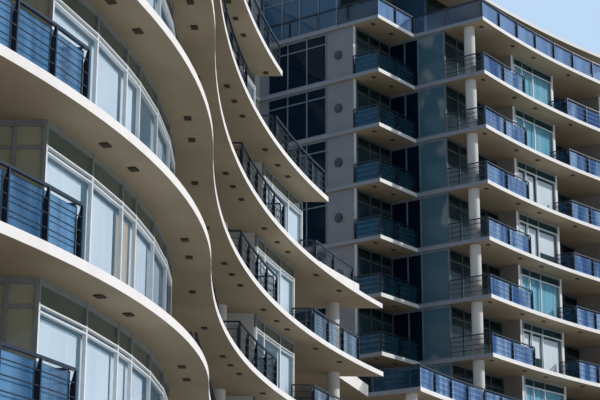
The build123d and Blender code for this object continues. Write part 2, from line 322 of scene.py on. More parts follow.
@dataclass(frozen=True)
class SlabCoat:
    """Cast slabs: white painted edges with painted shade in slate grey on those that look back along the
    block, brown-grey soffits and pale screed on top.
    """

    name: str = "slab_coat"
    edge: Colour = (0.92, 0.88, 0.84)
    edge_second: Colour = (0.85, 0.81, 0.77)
    painted_shade_edge: Colour = (0.29, 0.31, 0.36)
    soffit: Colour = (0.43, 0.335, 0.215)
    soffit_second: Colour = (0.35, 0.265, 0.165)
    top: Colour = (0.42, 0.41, 0.39)
    roughness: float = 0.72
    vary: float = 0.15
    strength: float = 0.3
    depth: float = 0.0004

    def make(self) -> bpy.types.Material:
        """Builds the material."""
        shader = Shader(self.name)
        upward = shader.part(shader.normal(), 2)
        cloud = shader.ramp(shader.noise(3.0, 4.0), 0.35, 0.65)
        streak = shader.ramp(shader.noise(16.0, 4.0, (1, 1, 0.15)), 0.4, 0.75)
        edges = shader.blend(streak, self.edge, self.edge_second)
        # painted shade: slate grey on the edges that look away from the light
        edges = shader.blend(shader.away(0.55, 0.75), edges, self.painted_shade_edge)
        soffits = shader.blend(cloud, self.soffit, self.soffit_second)
        sides = shader.blend(upward < -0.5, edges, soffits)
        fine = shader.noise(700.0, 2.0)
        shader.set(Base_Color=shader.blend(upward > 0.5, sides, self.top),
                   Roughness=self.roughness + self.vary * (fine - 0.5))
        shader.bump(fine, self.strength, self.depth)
        return shader.material


@dataclass(frozen=True)
class Glazing:
    """Window glass, partly clear, whose colours stand partly for its tint and partly for painted sky
    reflection, with painted shade and a painted reflection of the soffit over the transom, and painted shade
    where it looks away from the light.

    Glass with inner colours has patches of them between two lines across the block, and glass with a colour
    beyond has that one past a station of the wing.
    """

    name: str
    colour: Colour
    second: Colour
    # over the transom: painted shade with a painted reflection of the soffit
    painted_shade_upper: Colour
    # painted shade on the faces that look away from the light
    painted_shade_away_colour: Colour
    body: float = 0.30
    painted_shade_upper_body: float = 0.70
    painted_shade_away_body: float = 0.96
    inner: Optional[tuple[Colour, Colour]] = None
    inner_from: float = -0.150
    inner_to: float = 0.415
    index: float = 1.36
    gloss: float = 0.5
    beyond: Optional[Colour] = None
    beyond_x: float = 1.000
    roughness: float = 0.03

    def make(self) -> bpy.types.Material:
        """Builds the material."""
        shader = Shader(self.name)
        away = shader.away()
        drift = shader.ramp(shader.noise(5.0, 3.0, (1, 1, 0.5)), 0.35, 0.65)
        above = shader.over_transom()
        painted_shade_away_colour = self.painted_shade_away_colour
        if self.inner:
            place, corner = shader.place(), PLAN.block(0, 0)
            reach = shader.along(place, PLAN.u_way) - corner.dot(PLAN.u_way)
            across = shader.along(place, PLAN.v_way) - corner.dot(PLAN.v_way)
            patch = shader.ramp(shader.noise(6.0, 2.0, (1, 1, 0.8)), 0.50, 0.62)
            inside = (reach > self.inner_from) * (across < self.inner_to)
            painted_shade_away_colour = shader.blend(inside, painted_shade_away_colour, shader.blend(patch, *self.inner))
        # over the transom, painted shade and a painted reflection of the soffit; below it, the tint with
        # painted sky reflection
        facing = shader.blend(above, shader.blend(drift, self.colour, self.second), self.painted_shade_upper)
        if self.beyond:
            past = shader.part(shader.place(), 0) > self.beyond_x + PLAN.shift.x
            facing = shader.blend(past, facing, self.beyond)
        body = self.body + (self.painted_shade_upper_body - self.body) * above
        # painted shade, darker and with its own clearness, where the glass looks away from the light
        shader.set(Base_Color=shader.blend(away, facing, painted_shade_away_colour), Roughness=self.roughness,
                   IOR=self.index, Specular_IOR_Level=self.gloss, Alpha=body + (self.painted_shade_away_body - body) * away)
        shader.bump(shader.noise(9.0, 1.0), 0.05, 0.002)
        shader.material.surface_render_method = "DITHERED"
        return shader.material


@dataclass(frozen=True)
class RailGlass:
    """Blue panels of a railing, their colour partly a tint and partly painted sky reflection, with painted
    reflections in soft upright streaks and painted shade on the faces that look away from the light.
    """

    name: str = "rail_glass"
    colour: Colour = (0.035, 0.14, 0.42)
    # the lighter blue of the painted reflection streaks
    second: Colour = (0.34, 0.54, 0.82)
    # painted shade on the faces that look away from the light
    painted_shade_colour: Colour = (0.020, 0.120, 0.230)
    body: float = 0.72
    painted_shade_away_body: float = 0.36
    index: float = 1.36
    roughness: float = 0.06
    painted_reflection_streaks: float = 0.2

    def make(self) -> bpy.types.Material:
        """Builds the material."""
        shader = Shader(self.name)
        # painted reflections in soft upright streaks
        streak = shader.ramp(shader.noise(14.0, 3.0, (1, 1, 0.12)), 0.35, 0.65)
        # painted shade on the faces that look away from the light
        away = shader.away()
        sky = shader.blend(streak, self.colour, self.second)
        body = self.body + (self.painted_shade_away_body - self.body) * away
        shader.set(Base_Color=shader.blend(away, sky, self.painted_shade_colour), Roughness=self.roughness, IOR=self.index,
                   Alpha=body + self.painted_reflection_streaks * (streak - 0.5))
        shader.bump(streak, 0.04, 0.001)
        shader.material.surface_render_method = "DITHERED"
        return shader.material


@dataclass(frozen=True)
class Cloth:
    """Blinds and curtains with soft upright folds and painted shade in them, white but where their faces have
    a tan tone or the teal tone of the sheets of painted reflection.
    """

    name: str = "curtain_cloth"
    white: Colour = (0.90, 0.94, 0.97)
    tan: Colour = (0.62, 0.38, 0.16)
    # the teal of the sheets of painted reflection
    teal: Colour = (0.10, 0.42, 0.58)
    # painted shade in the folds
    painted_fold_shade: Colour = (0.62, 0.70, 0.78)
    painted_fold_shade_share: float = 0.35
    folds: float = 90.0
    roughness: float = 0.85

    def make(self) -> bpy.types.Material:
        """Builds the material."""
        shader = Shader(self.name)
        tone = shader.node("ShaderNodeAttribute", {"attribute_name": "tone"}, output="Fac")
        fold = shader.noise(self.folds, 2.0, (1, 1, 0.02))
        colour = shader.blend(tone > TAN_TONE / 2, self.white, self.tan)
        # the teal of the sheets of painted reflection
        colour = shader.blend(tone > (TAN_TONE + PAINTED_REFLECTION_TONE) / 2, colour, self.teal)
        # painted shade in the folds
        deep = shader.blend(shader.ramp(fold, 0.3, 0.7), colour, self.painted_fold_shade)
        shader.set(Base_Color=shader.blend(self.painted_fold_shade_share, colour, deep), Roughness=self.roughness)
        shader.bump(fold, 0.5, 0.002)
        return shader.material


class Finish(Enum):
    """The finishes of the building's pieces."""

    SLAB = SlabCoat()
    RENDER = Coat("taupe_render", (0.36, 0.32, 0.28), (0.31, 0.275, 0.24), front=(0.90, 0.89, 0.88))
    STEP_RENDER = Coat("grey_render", (0.27, 0.275, 0.30), (0.24, 0.24, 0.265), front=(0.90, 0.89, 0.88))
    BACK_RENDER = Coat("pale_render", (0.62, 0.60, 0.56), (0.56, 0.54, 0.50))
    COLUMN = Coat("column_paint", (0.72, 0.70, 0.66), (0.65, 0.63, 0.60))
    # white frames, with painted shade in grey over the transom
    WHITE_FRAME = Coat("white_frame", (0.86, 0.88, 0.88), (0.80, 0.82, 0.83), 40.0, 1500.0, 0.35, 0.0001,
                       painted_shade_upper=(0.24, 0.26, 0.25))
    GREY_FRAME = Coat("grey_frame", (0.30, 0.31, 0.31), (0.25, 0.26, 0.27), 40.0, 1500.0, 0.45, 0.0001)
    SLATE_FRAME = Coat("slate_frame", (0.10, 0.12, 0.125), (0.08, 0.095, 0.10), 40.0, 1500.0, 0.45, 0.0001)
    BLUE_FRAME = Coat("blue_grey_frame", (0.20, 0.25, 0.31), (0.16, 0.20, 0.26), 40.0, 1500.0, 0.45, 0.0001)
    RAIL = Coat("navy_steel", (0.010, 0.014, 0.026), (0.016, 0.022, 0.036), 60.0, 1800.0, 0.32, 0.0001, 0.3)
    VENT = Coat("vent_metal", (0.055, 0.062, 0.070), (0.040, 0.045, 0.052), 60.0, 1800.0, 0.5, 0.0001)
    LAMP = Coat("lamp_housing", (0.055, 0.042, 0.022), (0.040, 0.030, 0.016), 60.0, 1500.0, 0.9, 0.0001)
    FLOOR = Coat("pale_floor", (0.78, 0.77, 0.75), (0.74, 0.73, 0.71), 0.5, 40.0, 0.8)
    GLASS = Glazing("bay_glass", (0.22, 0.46, 0.66), (0.38, 0.62, 0.80), (0.140, 0.170, 0.135),
                    (0.005, 0.014, 0.032), 0.16, 0.78)
    BLOCK_GLASS = Glazing("block_glass", (0.12, 0.40, 0.52), (0.26, 0.56, 0.68), (0.020, 0.060, 0.065),
                          (0.003, 0.012, 0.028), 0.06, inner=((0.078, 0.165, 0.215), (0.270, 0.320, 0.310)),
                          gloss=0.2)
    # painted light: the bright olive stands for the light seen in these panes, which lie in shade
    OLIVE_GLASS = Glazing("painted_light_olive_glass", (0.80, 0.74, 0.52), (0.50, 0.47, 0.33), (0.46, 0.44, 0.32),
                          (0.50, 0.47, 0.34), 0.9, 0.9, 0.9, beyond=(0.10, 0.14, 0.14))
    DARK_GLASS = Glazing("dark_glass", (0.022, 0.050, 0.058), (0.045, 0.085, 0.095), (0.012, 0.022, 0.024),
                         (0.006, 0.012, 0.018), 0.80, gloss=0.3)
    TOP_GLASS = Glazing("top_storey_glass", (0.05, 0.13, 0.25), (0.16, 0.30, 0.45), (0.05, 0.13, 0.25),
                        (0.045, 0.120, 0.210), 0.97, 0.97)
    RAIL_GLASS = RailGlass()
    NEAR_RAIL_GLASS = RailGlass("near_rail_glass", (0.012, 0.080, 0.210), (0.125, 0.315, 0.560))
    PALE_RAIL_GLASS = RailGlass("pale_rail_glass", (0.035, 0.075, 0.105), (0.300, 0.450, 0.640), body=0.45)
    HAZE_RAIL_GLASS = RailGlass("haze_rail_glass", (0.17, 0.31, 0.58), (0.24, 0.40, 0.67),
                                (0.11, 0.17, 0.25), 0.66, 0.45)
    CLEAR_RAIL_GLASS = RailGlass("clear_rail_glass", (0.04, 0.06, 0.06), (0.09, 0.13, 0.15),
                                 (0.03, 0.05, 0.05), 0.18, 0.18)
    # painted shade: dark teal for the front panels of the step balconies, which lie in shade
    TEAL_RAIL_GLASS = RailGlass("painted_shade_step_rail_glass", (0.010, 0.050, 0.085), (0.022, 0.090, 0.130),
                                (0.006, 0.110, 0.215), 0.60, 0.78)
    CLOTH = Cloth()

    def material(self) -> bpy.types.Material:
        """The finish's material, built the first time that it is asked for."""
        made = bpy.data.materials.get(self.value.name)
        return made or self.value.make()


class Maker:
    """Gathers the shapes of one piece in a bmesh, and makes the piece."""

    def __init__(self) -> None:
        """Starts an empty mesh with a tone for each face."""
        self.mesh = bmesh.new()
        self.tone = self.mesh.faces.layers.float.new("tone")

    def bar(self, start: Vector, end: Vector, low: float, high: float, near: float, far: float,
            tone: float = 0.0) -> list:
        """Adds an upright box over a line in plan.

        Args:
            start: One end of the line.
            end: The other end.
            low: The height of its underside.
            high: The height of its top.
            near: Where it begins across the line, inwards being positive.
            far: Where it ends across the line.
            tone: The value kept on its faces.

        Returns:
            Its corners.
        """
        way = (end - start).normalized()
        side = UP.cross(way)
        centre = (start + end) / 2 + side * (near + far) / 2
        centre.z = (low + high) / 2
        columns = way * (end - start).length, side * (far - near), UP * (high - low)
        rows = [[column[row] for column in columns] + [centre[row]] for row in range(3)]
        made = bmesh.ops.create_cube(self.mesh, size=1.0, matrix=Matrix(rows + [[0, 0, 0, 1]]))["verts"]
        if tone:
            for face in {face for corner in made for face in corner.link_faces}:
                face[self.tone] = tone
        return made

    def upright(self, point: Vector, way: Vector, width: float, low: float, high: float, near: float,
                far: float) -> list:
        """Adds an upright bar centred on a point of a line."""
        half = way.normalized() * (width / 2)
        return self.bar(point - half, point + half, low, high, near, far)

    def rod(self, start: Vector, end: Vector, radius: float, sides: int = 6) -> None:
        """Adds a round rod between two points."""
        way = end - start
        turn = way.to_track_quat("Z", "Y").to_matrix().to_4x4()
        matrix = Matrix.Translation((start + end) / 2) @ turn
        bmesh.ops.create_cone(self.mesh, cap_ends=True, segments=sides, radius1=radius, radius2=radius,
                              depth=way.length, matrix=matrix)

    def piece(self, name: str, finish: Finish, slot: str, replaced: Iterable[str] = (),
              smooth: bool = False) -> None:
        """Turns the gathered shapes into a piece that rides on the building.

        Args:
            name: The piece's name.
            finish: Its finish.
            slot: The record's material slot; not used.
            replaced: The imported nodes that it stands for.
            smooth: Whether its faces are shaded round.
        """
        data = bpy.data.meshes.new(name)
        self.mesh.to_mesh(data)
        self.mesh.free()
        made = add_object(name, data)
        data.materials.append(finish.material())
        if smooth:
            data.shade_smooth()
            data.set_sharp_from_angle(angle=SHARP)
        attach(made, "root")
        if replaced:
            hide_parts(*replaced)
        LOG.info("%s: %d faces", name, len(data.polygons))


def add_object(name: str, data: bpy.types.ID) -> bpy.types.Object:
    """Adds an object to the scene."""
    made = bpy.data.objects.new(name, data)
    bpy.context.scene.collection.objects.link(made)
    return made


def steps(start: float, end: float, count: int) -> list[float]:
    """Evenly spaced values, from one to another."""
    return [start + (end - start) * index / count for index in range(count + 1)]


def spread(start: Vector, end: Vector, count: int) -> list[Vector]:
    """Evenly spaced points, from one end of a line to the other."""
    return [start.lerp(end, share) for share in steps(0, 1, count)]


def with_ways(points: Sequence[Vector]) -> Iterable[tuple[Vector, Vector]]:
    """Each point of a line, with the way between its neighbours."""
    last = len(points) - 1
    for index, point in enumerate(points):
        yield point, points[min(index + 1, last)] - points[max(index - 1, 0)]


def dress(nodes: Iterable[str], finish: Finish) -> None:
    """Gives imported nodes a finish."""
    for name in nodes:
        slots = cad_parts[name].data.materials
        slots.clear()
        slots.append(finish.material())


@dataclass
class Slabs:
    """The floor slabs, with the flat lamps in their soffits."""

    lamp: float = 0.025
    lamp_across: float = 0.017
    lamp_depth: float = 0.003
    lamp_setback: float = 0.052
    half_span: float = 0.010
    wing_end: float = 4.725
    wing_lamps: Row = (0.250, 0.676, 0.831, 1.376, 1.538, 1.900, 2.350, 2.769, 2.914, 3.064, 3.433, 3.620,
                       3.763, 4.124, 4.395)
    block_lamps: Row = (0.080, 0.420, 0.640, 1.000, 1.360, 1.640)
    step_lamps: tuple[Pair, ...] = ((-0.290, 0.500), (-0.120, 0.500), (0.060, 0.330))
    tips: dict[int, float] = field(default_factory=lambda: {7: 4.110, 8: 3.470, 9: 2.850})

    def build(self) -> None:
        """Dresses the slabs and adds the lamps."""
        dress([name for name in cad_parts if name.startswith("slab_")], Finish.SLAB)
        lamps = Maker()
        for level in range(1, PLAN.block_storeys):
            if level <= PLAN.wing_storeys:
                reach = self.tips.get(level, self.wing_end)
                for x in self.wing_lamps:
                    if x < reach - self.lamp:
                        before = PLAN.wave(x - self.half_span, self.lamp_setback)
                        after = PLAN.wave(x + self.half_span, self.lamp_setback)
                        self.add_lamp(lamps, (before + after) / 2, after - before, level)
            for u in self.block_lamps:
                self.add_lamp(lamps, PLAN.front(u, self.lamp_setback), PLAN.u_way, level)
            for u, v in self.step_lamps:
                self.add_lamp(lamps, PLAN.block(u, v), PLAN.u_way, level)
        lamps.piece("soffit_lamps", Finish.LAMP, "railing_steel")

    def add_lamp(self, lamps: Maker, point: Vector, way: Vector, level: int) -> None:
        """Adds one flat lamp under the slab of a level."""
        under = PLAN.storey * level
        half = self.lamp_across / 2
        lamps.upright(point, way, self.lamp, under - self.lamp_depth, under + self.lamp_depth, -half, half)


@dataclass
class WindowWall:
    """A glazed wall over one storey: a frame with upright bars, a transom and blinds behind its panes.

    Gaps and margins are shares of a pane's width, and drops are how far over the sill a blind ends.
    """

    points: Sequence[Vector]
    bar_width: float = 0.006
    proud: float = 0.004
    depth: float = 0.007
    transom: float = 0.227
    double: bool = True
    transom_rises: Pair = (-0.010, 0.002)
    transom_bar: float = 0.0028
    transom_proud: float = 0.002
    single_half: float = 0.003
    post_proud: float = 0.001
    head: float = 0.012
    sill: float = 0.010
    blind: Pair = (0.011, 0.0125)
    sheet: Pair = (0.0125, 0.014)
    blind_gap: float = 0.014
    gaps: Pair = (0.03, 0.08)
    margins: Pair = (0.04, 0.12)
    drops: Row = (0.0, 0.0, 0.0, 0.03, 0.09)

    def frames(self, maker: Maker, floor: float, ceiling: float) -> None:
        """Adds the bars of one storey."""
        near, far = -self.proud, self.depth - self.proud
        for point, way in with_ways(self.points):
            maker.upright(point, way, self.bar_width, floor, ceiling, near - self.post_proud, far)
        for start, end in zip(self.points, self.points[1:]):
            maker.bar(start, end, floor, floor + self.sill, near, far)
            maker.bar(start, end, ceiling - self.head, ceiling, near, far)
            middle = floor + self.transom
            if self.double:
                for low in (middle + rise for rise in self.transom_rises):
                    maker.bar(start, end, low, low + self.transom_bar, near - self.transom_proud, far)
            elif self.transom:
                maker.bar(start, end, middle - self.single_half, middle + self.single_half, near, far)

    def blinds(self, maker: Maker, floor: float, draw: random.Random, share: float,
               drawn: Optional[dict[int, float]] = None, backed: bool = False) -> None:
        """Adds a blind or a curtain behind some of the panes.

        Args:
            maker: The mesh that gathers them.
            floor: The height of the storey's floor.
            draw: The seeded source of chance.
            share: The share of panes that have one.
            drawn: The panes, counted from nought, that always have one, each with its tone.
            backed: Whether the other panes have a teal sheet behind them, as painted reflection.
        """
        drawn = drawn or {}
        low, high = floor + self.sill, floor + self.transom
        for index, (start, end) in enumerate(zip(self.points, self.points[1:])):
            if draw.random() > share and index not in drawn:
                if backed:
                    # a teal sheet of painted reflection behind a pane without a blind
                    maker.bar(start, end, low, high, *self.sheet, PAINTED_REFLECTION_TONE)
                continue
            gap = (end - start) * draw.uniform(*self.gaps)
            margin = (end - start) * draw.uniform(*self.margins)
            drop = draw.choice(self.drops)
            maker.bar(start + gap, end - margin, low + drop, high - self.blind_gap, *self.blind,
                      drawn.get(index, 0.0))


@dataclass
class WingWindows:
    """The window walls of the wing: two bays, the glazed ends and the doors behind the balconies."""

    bay_setback: float = 0.100
    bay_one: Row = (0.537, 0.735, 0.912, 1.012, 1.190, 1.400, 1.590)
    bay_two_length: float = 0.510
    bay_two_bars: Row = (0.380, 0.170, 0.0)
    bay_two_bar_width: float = 0.010
    ends: dict[int, float] = field(default_factory=lambda: {6: 4.095, 7: 3.455, 8: 2.835})
    full_end: float = 4.000
    near_back: float = 0.640
    recess_back: Pair = (0.340, 0.170)
    wall: float = 0.025
    link: float = 0.430
    side_bar_width: float = 0.007
    near_panes: int = 3
    return_panes: tuple[int, int] = (7, 2)
    recess_pane: float = 0.24
    end_panes: int = 4
    drawn: tuple[int, ...] = (0, 1)
    tan_panes: dict[int, dict[int, float]] = field(default_factory=lambda: {3: {2: TAN_TONE}})
    shares: Triple = (0.85, 0.8, 0.2)
    seed: int = 7

    def build(self) -> None:
        """Builds the bars and blinds of every storey."""
        dress(["bay_one_glass", "bay_two_glass"], Finish.GLASS)
        dress(["wing_door_glass", "bay_one_ends"], Finish.OLIVE_GLASS)
        white, grey, cloth = Maker(), Maker(), Maker()
        draw = random.Random(self.seed)
        first_share, second_share, side_share = self.shares
        for level in range(PLAN.wing_storeys):
            floor = PLAN.floor(level)
            ceiling = floor + PLAN.clear
            end = self.ends.get(level, self.full_end)
            front = WindowWall([PLAN.wave(x, self.bay_setback) for x in self.bay_one])
            front.frames(white, floor, ceiling)
            drawn = {**dict.fromkeys(self.drawn, 0.0), **self.tan_panes.get(level, {})}
            front.blinds(cloth, floor, draw, first_share, drawn)
            fin = end - self.bay_two_length
            stations = [fin + self.wall] + [end - bar for bar in self.bay_two_bars]
            second = WindowWall([PLAN.wave(x, self.bay_setback) for x in stations], self.bay_two_bar_width)
            second.frames(white, floor, ceiling)
            second.blinds(cloth, floor, draw, second_share)
            for wall in self.side_walls(end, fin):
                wall.frames(grey, floor, ceiling)
                wall.blinds(cloth, floor, draw, side_share)
        white.piece("wing_white_frames", Finish.WHITE_FRAME, "window_glass")
        grey.piece("wing_grey_frames", Finish.GREY_FRAME, "window_glass")
        cloth.piece("wing_blinds", Finish.CLOTH, "window_glass")

    def recess_wall(self, x: float) -> Vector:
        """The point of the glazed wall behind the long balconies at a station."""
        last = self.bay_one[-1]
        fall = (self.recess_back[1] - self.recess_back[0]) / (self.full_end - self.bay_two_length - last)
        return PLAN.point(x, self.recess_back[0] + fall * (x - last))

    def side_walls(self, end: float, fin: float) -> list[WindowWall]:
        """The glazed walls beside and behind the balconies of one storey."""
        first, last = self.bay_one[0], self.bay_one[-1]
        near = PLAN.point(first, self.near_back)
        recess = self.recess_wall(last)
        lines = [(PLAN.point(self.wall, self.near_back), near, self.near_panes),
                 (near, PLAN.wave(first, self.bay_setback), self.return_panes[0]),
                 (PLAN.wave(last, self.bay_setback), recess, self.return_panes[1]),
                 (recess, self.recess_wall(fin), round((fin - last) / self.recess_pane)),
                 (PLAN.wave(end, self.bay_setback), PLAN.point(end, self.link), self.end_panes)]
        return [WindowWall(spread(*line), self.side_bar_width, double=False) for line in lines]


@dataclass
class BlockWindows:
    """The window walls of the stepped block, each with its upright bars at stations of their own."""

    face_u: float = -0.333
    step: float = 0.600
    edge: float = 0.015
    deep: float = 0.250
    bays: Triple = (0.530, 0.965, 1.420)
    bay_setback: float = 0.130
    near_bars: Pair = (0.640, 0.750)
    far_bars: Pair = (1.530, 1.640)
    top_bars: Row = (1.200, 1.070, 0.950, 0.825, 0.705)
    tall_bars: Row = (1.160, 1.030, 0.902, 0.775)
    face_bars: Pair = (0.500, 0.415)
    side_bars: Pair = (-0.190, -0.090)
    corner_bars: Triple = (0.140, 0.270, 0.400)
    back_bars: Pair = (1.110, 1.260)
    white_transom: float = 0.231
    transom: float = 0.215
    bar_width: float = 0.006
    thin_bar: float = 0.005
    top_bar: float = 0.007
    end: float = 1.740
    wall: float = 0.025
    vent_v: float = 0.697
    vent_rise: float = 0.165
    vent_radius: float = 0.026
    cowl_share: float = 0.72
    vent_reach: Triple = (-0.002, 0.004, 0.008)
    vent_sides: int = 24
    drawn_blinds: tuple[int, ...] = (0, 2, 3, 6, 8, 9)
    open_share: float = 0.1
    grey_shares: Triple = (0.1, 0.3, 0.2)
    seed: int = 11

    def build(self) -> None:
        """Builds the bars, blinds and vents of every storey."""
        dress(["face_glass"], Finish.BLOCK_GLASS)
        dress(["balcony_glass", "penthouse_glass", "window_glass"], Finish.DARK_GLASS)
        dress(["balcony_returns"], Finish.RENDER)
        dress(["penthouse_walls"], Finish.TOP_GLASS)
        dress(["step_face_walls"], Finish.STEP_RENDER)
        white, grey, blue, cloth, vents = Maker(), Maker(), Maker(), Maker(), Maker()
        draw = random.Random(self.seed)
        for level in range(PLAN.block_storeys - 1):
            floor = PLAN.floor(level)
            ceiling = floor + PLAN.clear
            front_share = 1.0 if level in self.drawn_blinds else self.open_share
            for wall in self.white_walls():
                wall.frames(white, floor, ceiling)
                wall.blinds(cloth, floor, draw, front_share, backed=True)
            for wall in self.blue_walls():
                wall.frames(blue, floor, ceiling)
            for wall, share in self.grey_walls():
                wall.frames(grey, floor, ceiling)
                wall.blinds(cloth, floor, draw, share)
            self.vent(vents, floor + PLAN.clear + PLAN.slab - self.vent_rise)
        white.piece("block_white_frames", Finish.WHITE_FRAME, "window_glass")
        self.top_storey(blue)
        grey.piece("block_grey_frames", Finish.SLATE_FRAME, "window_glass")
        blue.piece("block_blue_frames", Finish.BLUE_FRAME, "window_glass")
        cloth.piece("block_blinds", Finish.CLOTH, "window_glass")
        vents.piece("round_vents", Finish.VENT, "rendered_wall", smooth=True)

    def top_storey(self, blue: Maker) -> None:
        """Adds the bars of the glazed top storey on the side of the step."""
        floor = PLAN.floor(PLAN.block_storeys - 1)
        wall = self.line([(self.face_u, v) for v in self.top_bars], self.top_bar)
        wall.frames(blue, floor, floor + PLAN.clear)

    def line(self, stations: Iterable[Pair], width: float,
             transom: float = WindowWall.transom) -> WindowWall:
        """A window wall with a single transom through points given in the block's own axes."""
        return WindowWall([PLAN.block(u, v) for u, v in stations], width, transom=transom, double=False)

    def white_walls(self) -> list[WindowWall]:
        """The walls with white frames, along the front."""
        first, second, third = self.bays
        lines = ((first + self.wall, *self.near_bars, second - self.wall),
                 (third + self.wall, *self.far_bars, self.end))
        return [WindowWall([PLAN.front(u, self.bay_setback) for u in line], self.bar_width,
                           transom=self.white_transom, double=False) for line in lines]

    def blue_walls(self) -> list[WindowWall]:
        """The walls with blue-grey frames, which face the wing."""
        face = (self.step, *self.face_bars, self.deep)
        return [self.line([(self.face_u, v) for v in self.tall_bars], self.bar_width, self.transom),
                self.line([(self.edge, v) for v in face], self.bar_width, 0.0)]

    def grey_walls(self) -> list[tuple[WindowWall, float]]:
        """The walls with grey frames, each with the share of its panes that have blinds."""
        first, second, third = self.bays
        lines = (((self.face_u + self.wall, *self.side_bars, self.edge), self.step),
                 ((self.edge, *self.corner_bars, first), self.deep),
                 ((second, *self.back_bars, third), self.deep))
        return [(self.line([(u, v) for u in line], self.thin_bar, self.transom), share)
                for (line, v), share in zip(lines, self.grey_shares)]

    def vent(self, vents: Maker, height: float) -> None:
        """Adds a round vent with a ring and a cowl to the plain wall of the step."""
        centre = PLAN.block(self.face_u, self.vent_v) + UP * height
        back, ring, cowl = (centre - PLAN.u_way * reach for reach in self.vent_reach)
        vents.rod(back, ring, self.vent_radius, self.vent_sides)
        vents.rod(centre, cowl, self.vent_radius * self.cowl_share, self.vent_sides)


@dataclass
class Railings:
    """Steel railings: blade posts under a top rail, three rods and blue glass panels behind them."""

    height: float = 0.107
    post_width: float = 0.0045
    post_near: float = -0.005
    post_far: float = 0.006
    taper_start: float = 0.076
    taper: float = 0.007
    rail_width: float = 0.007
    rail_depth: float = 0.0055
    rods: Row = (0.028, 0.054, 0.080)
    rod_radius: float = 0.0013
    rod_inset: float = 0.002
    glass_gap: float = 0.003
    glass_near: float = 0.0065
    glass_far: float = 0.0085
    glass_low: float = 0.006
    glass_high: float = 0.098

    def post(self, maker: Maker, point: Vector, way: Vector, floor: float) -> None:
        """Adds a blade post that narrows towards the rail."""
        cut, top = floor + self.taper_start, floor + self.height - self.rail_depth
        maker.upright(point, way, self.post_width, floor, cut, self.post_near, self.post_far)
        corners = maker.upright(point, way, self.post_width, cut, top, self.post_near, self.post_far)
        side = UP.cross(way.normalized())
        inner = [c for c in corners if c.co.z > (cut + top) / 2 and (c.co - point).dot(side) > 0]
        bmesh.ops.translate(maker.mesh, verts=inner, vec=-side * self.taper)

    def run(self, steel: Maker, glass: Maker, points: Sequence[Vector], levels: Iterable[int]) -> None:
        """Adds one railing through its post points, on some levels."""
        half = self.rail_width / 2
        for level in levels:
            floor = PLAN.floor(level)
            top = floor + self.height
            for point, way in with_ways(points):
                self.post(steel, point, way, floor)
            for start, end in zip(points, points[1:]):
                steel.bar(start, end, top - self.rail_depth, top, -half, half)
                ahead = (end - start).normalized()
                side = UP.cross(ahead) * (self.post_near + self.rod_inset)
                for rise in self.rods:
                    lift = UP * (floor + rise) + side
                    steel.rod(start + lift, end + lift, self.rod_radius)
                trim = ahead * self.glass_gap
                glass.bar(start + trim, end - trim, floor + self.glass_low, floor + self.glass_high,
                          self.glass_near, self.glass_far)


